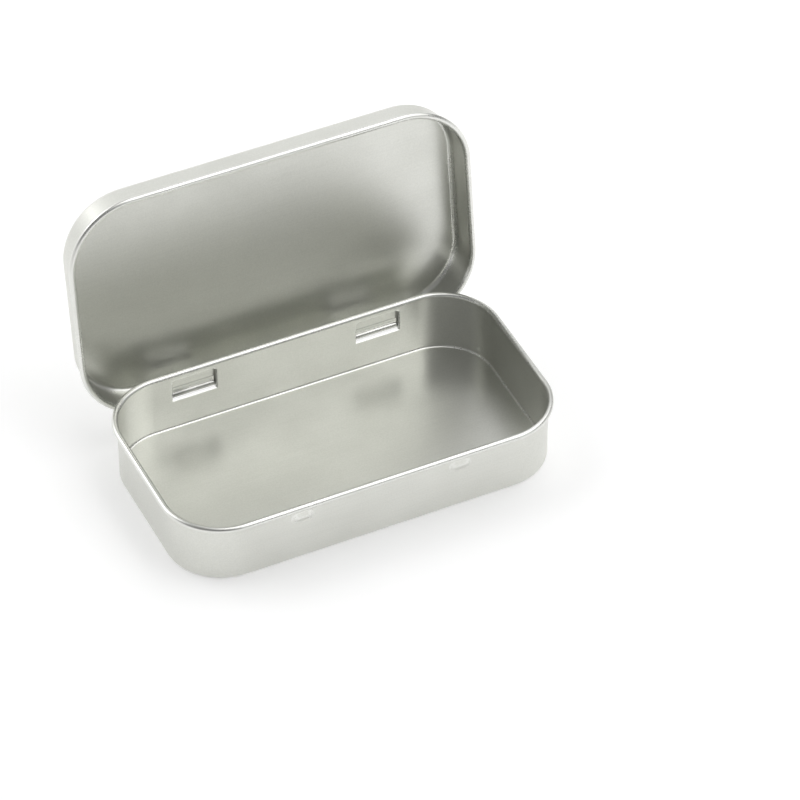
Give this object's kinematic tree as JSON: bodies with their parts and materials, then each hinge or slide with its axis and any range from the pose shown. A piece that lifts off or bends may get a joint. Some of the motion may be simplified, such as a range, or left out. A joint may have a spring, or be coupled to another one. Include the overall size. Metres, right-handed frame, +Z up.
{
  "type": "hinged mint tin",
  "caption": "Slim hinged pocket tin of pressed tinplate with rounded corners and rolled rims, its lid hooked on hinge bars in the back wall.",
  "frame": {"origin": "middle of the flat underside of the base", "axes": "+X along the tin's long side, +Y towards the hinge at the back, +Z up"},
  "size_m": [0.1076, 0.0734, 0.0695],
  "materials": {
    "tinplate": "satin tinplate"
  },
  "bodies": {
    "base": {"base_pan": "tinplate"},
    "lid": {"lid_pan": "tinplate"}
  },
  "joints": [
    {"name": "lid_hinge", "type": "hinge", "parent": "base", "child": "lid", "pos_m": [0, 0.02884, 0.01006], "axis": [1, 0, 0], "range_deg": [0, 97.63]}
  ]
}
